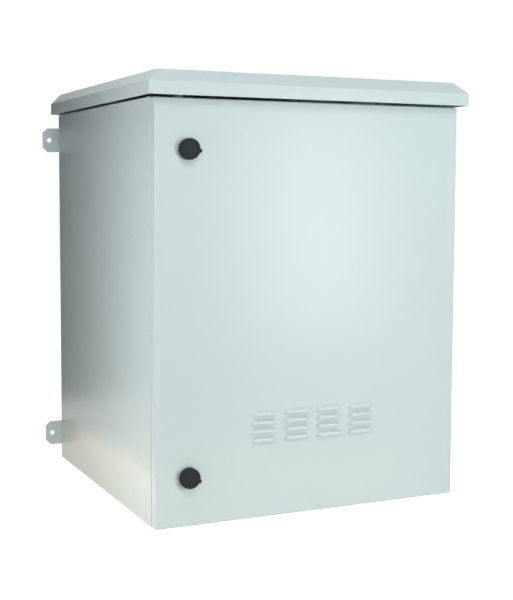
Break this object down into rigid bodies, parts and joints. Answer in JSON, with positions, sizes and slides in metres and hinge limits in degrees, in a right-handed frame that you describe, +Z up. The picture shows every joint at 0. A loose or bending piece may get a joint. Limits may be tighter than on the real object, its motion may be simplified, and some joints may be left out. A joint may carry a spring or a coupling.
{
  "type": "roadside utility cabinet",
  "caption": "Outdoor equipment cabinet with a pitched rain canopy, a louvred lockable door on concealed hinges, wall ears and rack rails inside.",
  "frame": {"origin": "centre of the footprint on the surface that the cabinet stands on", "axes": "+Z up, -Y out of the door, +Y towards the wall, +X to the right of someone facing the door"},
  "size_m": [0.668, 0.616, 0.78],
  "materials": {
    "powder_coat": "light grey fine-textured powder coat, satin",
    "zinc_steel": "bright zinc-plated steel",
    "black_plastic": "moulded black polyamide, matt",
    "seal_rubber": "black rubber",
    "seal_foam": "dark foamed polyurethane",
    "filter_fleece": "white polyester fleece"
  },
  "bodies": {
    "cabinet": {"left_side_wall": "powder_coat", "right_side_wall": "powder_coat", "rear_panel": "powder_coat", "top_panel": "powder_coat", "floor_panel": "powder_coat", "cable_entry_plate": "powder_coat", "roof_canopy": "powder_coat", "lower_left_wall_ear": "powder_coat", "lower_right_wall_ear": "powder_coat", "upper_left_wall_ear": "powder_coat", "upper_right_wall_ear": "powder_coat", "cable_plate_nuts": "zinc_steel", "roof_studs": "zinc_steel", "roof_nuts": "zinc_steel", "ear_bolts": "zinc_steel", "depth_rail_nuts": "zinc_steel", "rail_bolts": "zinc_steel", "rail_nuts": "zinc_steel", "hinge_screws": "zinc_steel", "upper_hinge_pin": "zinc_steel", "lower_hinge_pin": "zinc_steel", "lower_left_depth_rail": "zinc_steel", "lower_right_depth_rail": "zinc_steel", "lower_hinge_arm": "zinc_steel", "upper_left_depth_rail": "zinc_steel", "upper_right_depth_rail": "zinc_steel", "upper_hinge_arm": "zinc_steel", "front_left_mounting_rail": "zinc_steel", "front_left_roof_spacer": "zinc_steel", "front_right_mounting_rail": "zinc_steel", "front_right_roof_spacer": "zinc_steel", "rear_left_mounting_rail": "zinc_steel", "rear_left_roof_spacer": "zinc_steel", "rear_right_mounting_rail": "zinc_steel", "rear_right_roof_spacer": "zinc_steel", "cable_grommets": "seal_rubber"},
    "door": {"door_panel": "powder_coat", "door_gasket": "seal_foam", "left_door_stiffener": "powder_coat", "right_door_stiffener": "powder_coat", "filter_mat": "filter_fleece", "filter_frame": "powder_coat", "filter_nuts": "zinc_steel", "upper_hinge_leaf": "zinc_steel", "upper_lock_housing": "black_plastic", "upper_lock_nut": "zinc_steel", "upper_cap_pin": "zinc_steel", "lower_hinge_leaf": "zinc_steel", "lower_lock_housing": "black_plastic", "lower_lock_nut": "zinc_steel", "lower_cap_pin": "zinc_steel"},
    "upper_cap": {"upper_lock_cap": "black_plastic"},
    "upper_lock": {"upper_lock_rotor": "zinc_steel", "upper_lock_cam": "zinc_steel", "upper_cam_screw": "zinc_steel"},
    "lower_cap": {"lower_lock_cap": "black_plastic"},
    "lower_lock": {"lower_lock_rotor": "zinc_steel", "lower_lock_cam": "zinc_steel", "lower_cam_screw": "zinc_steel"}
  },
  "joints": [
    {"name": "door_hinge", "type": "hinge", "parent": "cabinet", "child": "door", "pos_m": [0.2935, -0.2815, 0.3675], "axis": [0, 0, 1], "range_deg": [0, 110]},
    {"name": "upper_cap_hinge", "type": "hinge", "parent": "door", "child": "upper_cap", "pos_m": [-0.25638, -0.295, 0.65001], "axis": [-0.1219, 0, -0.9925], "range_deg": [0, 100]},
    {"name": "upper_lock_turn", "type": "hinge", "parent": "door", "child": "upper_lock", "pos_m": [-0.24, -0.269, 0.648], "axis": [0, 1, 0], "range_deg": [0, 90]},
    {"name": "lower_cap_hinge", "type": "hinge", "parent": "door", "child": "lower_cap", "pos_m": [-0.2553, -0.295, 0.09318], "axis": [-0.3746, 0, -0.9272], "range_deg": [0, 100]},
    {"name": "lower_lock_turn", "type": "hinge", "parent": "door", "child": "lower_lock", "pos_m": [-0.24, -0.269, 0.087], "axis": [0, -1, 0], "range_deg": [0, 90]}
  ]
}
